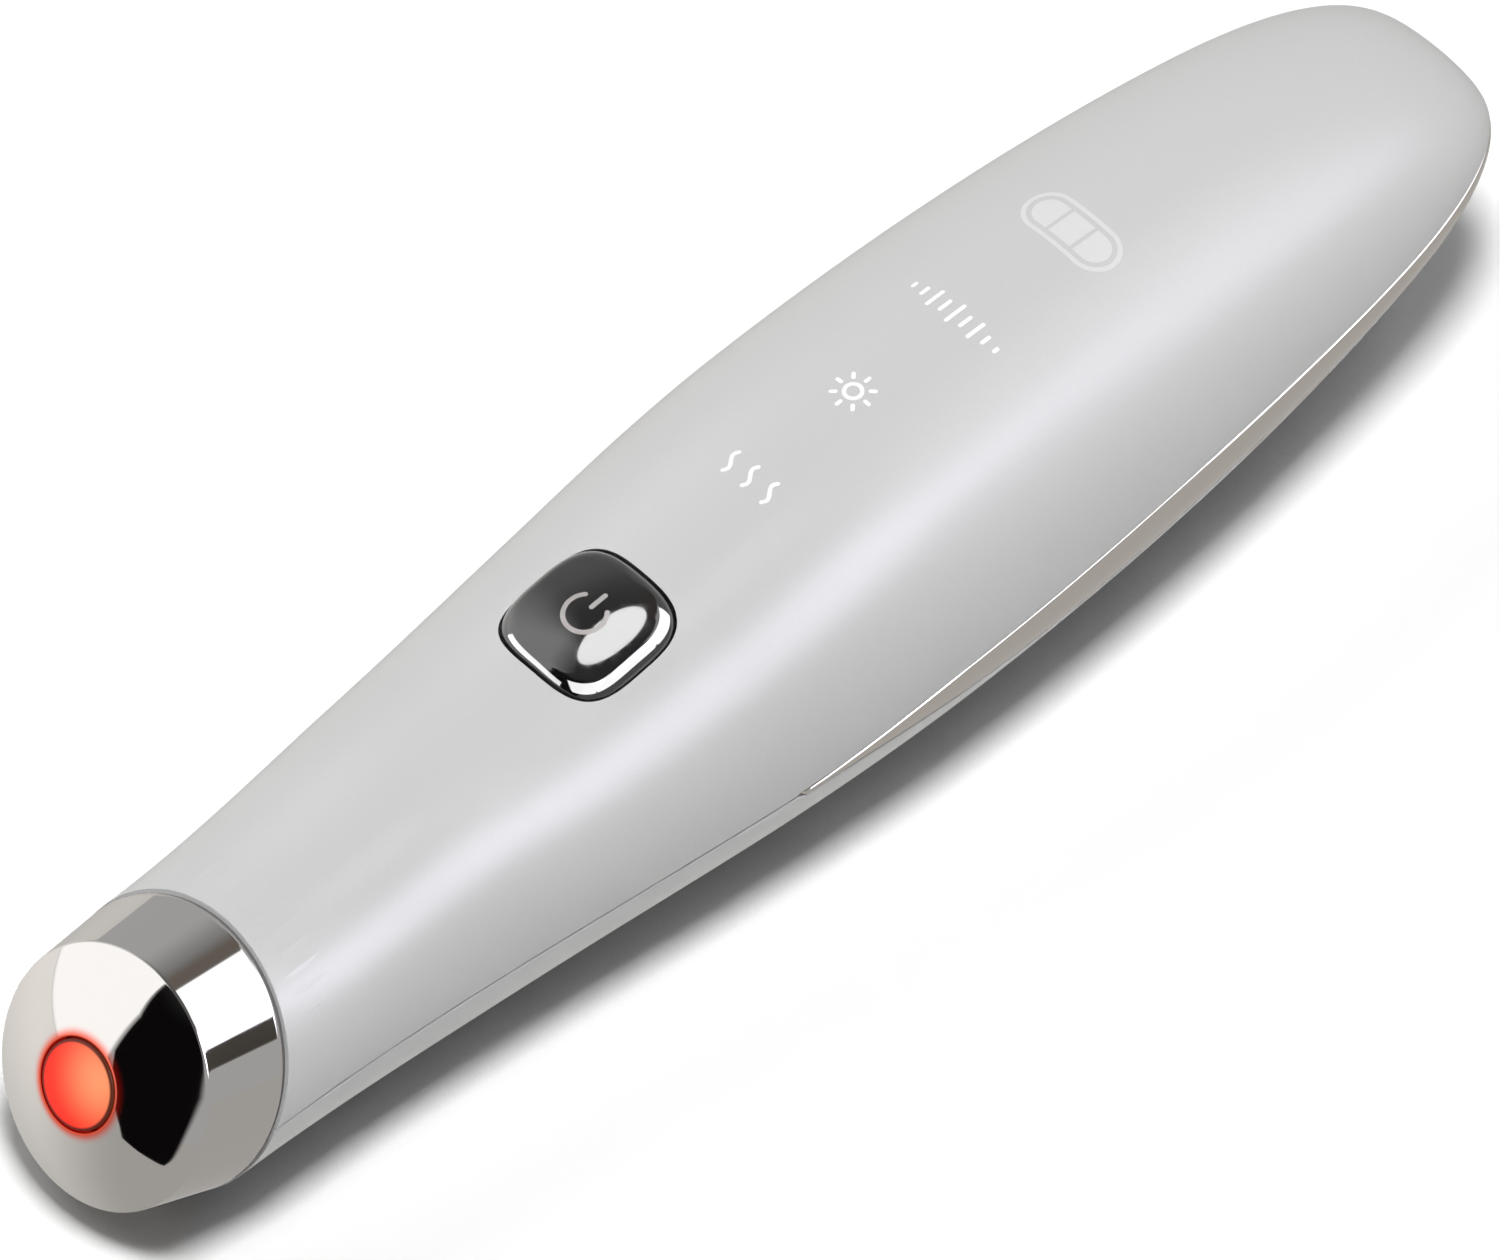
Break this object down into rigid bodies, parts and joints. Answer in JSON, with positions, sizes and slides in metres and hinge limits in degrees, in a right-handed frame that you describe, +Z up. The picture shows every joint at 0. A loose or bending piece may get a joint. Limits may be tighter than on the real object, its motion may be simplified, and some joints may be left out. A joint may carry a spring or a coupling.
{
  "type": "eye massage wand",
  "caption": "Handheld eye and facial care wand with a slanted heated metal head, a red light window, a push button, a chrome side trim and a vibration motor inside.",
  "frame": {"origin": "middle of the box that the wand fills, on the flat underside it rests on", "axes": "+X from the head to the tail, +Z up out of the button side, +Y to the left seen from the tail"},
  "size_m": [0.1505, 0.0344, 0.0286],
  "materials": {
    "pearl_shell": "satin pearl",
    "chrome_trim": "polished warm chrome",
    "chrome_head": "mirror polished",
    "grey_seal": "matte",
    "white_plastic": "moulded",
    "copper_film": "satin",
    "red_window": "clear red, lit",
    "board_green": "solder mask",
    "lamp_clear": "clear",
    "black_gloss": "glossy black",
    "black_plastic": "moulded",
    "cell_sleeve": "shrink sleeve",
    "foam": "foam",
    "steel": "plain",
    "black_rubber": "matte",
    "dark_steel": "plain"
  },
  "bodies": {
    "housing": {"upper_shell": "pearl_shell", "lower_shell": "pearl_shell", "side_trim": "chrome_trim", "massage_head": "chrome_head", "neck_gasket": "grey_seal", "head_carrier": "white_plastic", "heater_ring": "copper_film", "light_window": "red_window", "window_washer": "grey_seal", "led_board": "board_green", "head_led": "lamp_clear", "button_gasket": "grey_seal", "switch_board": "board_green", "tact_switch": "black_plastic", "main_board": "board_green", "light_guides": "lamp_clear", "battery_cell": "cell_sleeve", "battery_pads": "foam", "motor_can": "steel", "motor_sleeve": "black_rubber", "charge_board": "board_green", "charge_socket": "steel", "board_screws": "dark_steel"},
    "button": {"button_cap": "black_gloss", "switch_stem": "white_plastic"},
    "rotor": {"motor_shaft": "steel", "eccentric_weight": "dark_steel"}
  },
  "joints": [
    {"name": "button_press", "type": "slide", "parent": "housing", "child": "button", "axis": [0.1466, 0, -0.9892], "range_m": [0, 0.0006], "stiffness_N_per_m": 1500, "springref_m": -0.0002},
    {"name": "motor_spin", "type": "hinge", "parent": "housing", "child": "rotor", "pos_m": [-0.05, 0, 0.01028], "axis": [1, 0, 0], "continuous": true}
  ]
}
